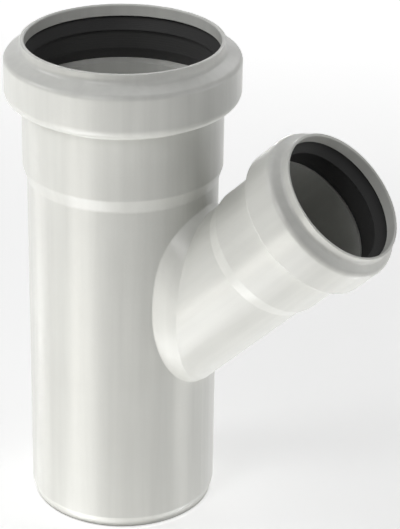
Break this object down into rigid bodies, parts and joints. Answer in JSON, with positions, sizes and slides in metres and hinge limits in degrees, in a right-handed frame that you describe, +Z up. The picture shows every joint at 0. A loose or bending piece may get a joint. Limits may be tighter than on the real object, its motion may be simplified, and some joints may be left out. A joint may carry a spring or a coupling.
{
  "type": "lateral wye pipe fitting",
  "caption": "Push-fit drainage wye in light grey plastic: an upright run with a smaller side branch at 45 degrees, rubber lip seals in the sockets and a plain spigot.",
  "frame": {"origin": "centre of the spigot's end face, on the axis of the run", "axes": "+Z up the axis of the run to its socket, +X towards the side the branch leans to, so the branch axis lies in the XZ plane"},
  "size_m": [0.2361, 0.1346, 0.288],
  "materials": {
    "body_plastic": "smooth moulded, low gloss",
    "seal_rubber": "matt moulded rubber"
  },
  "bodies": {
    "root": {"fitting_body": "body_plastic", "run_seal": "seal_rubber", "branch_seal": "seal_rubber"}
  },
  "joints": []
}
